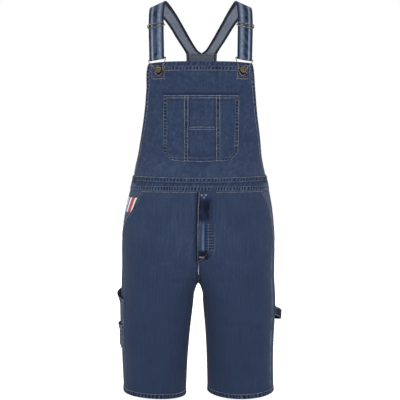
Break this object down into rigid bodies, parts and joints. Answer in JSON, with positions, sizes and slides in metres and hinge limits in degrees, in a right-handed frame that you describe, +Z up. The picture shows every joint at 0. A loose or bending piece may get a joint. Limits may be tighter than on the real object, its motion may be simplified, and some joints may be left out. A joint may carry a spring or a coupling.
{
  "type": "denim bib overall shorts",
  "caption": "Hollow denim bib-overall shorts of bermuda length, as worn: bib, adjustable straps with buttons and buckles, high back, open legs and work pockets.",
  "frame": {"origin": "midpoint between the two straps' tops, on the wearer's shoulder line", "axes": "+Z up along the wearer, -Y to the garment's front, +X to the viewer's right as seen from the front"},
  "size_m": [0.4205, 0.2619, 1.0036],
  "materials": {
    "denim": "washed mid-blue twill",
    "strap_denim": "twill with faded edges",
    "pocket_cloth": "plain pocket cloth with a striped print",
    "antique_brass": "dull antique",
    "dark_wire": "dull antique"
  },
  "bodies": {
    "root": {"bib_front": "denim", "chest_pocket": "denim", "chest_pocket_centre": "denim", "button_patch_left": "denim", "button_patch_right": "denim", "back_bib": "denim", "waistband_front": "denim", "waistband_back": "denim", "leg_front_left": "denim", "leg_front_right": "denim", "leg_back_left": "denim", "leg_back_right": "denim", "fly": "denim", "pocket_facing_left": "denim", "pocket_facing_right": "denim", "carpenter_pocket": "denim", "tool_pocket": "denim", "hammer_loop": "denim", "strap_left": "strap_denim", "strap_right": "strap_denim", "pocket_bag_left": "pocket_cloth", "pocket_bag_right": "pocket_cloth", "button_left": "antique_brass", "button_right": "antique_brass", "buckle_left": "dark_wire", "buckle_right": "dark_wire", "slider_left": "dark_wire", "slider_right": "dark_wire"}
  },
  "joints": []
}
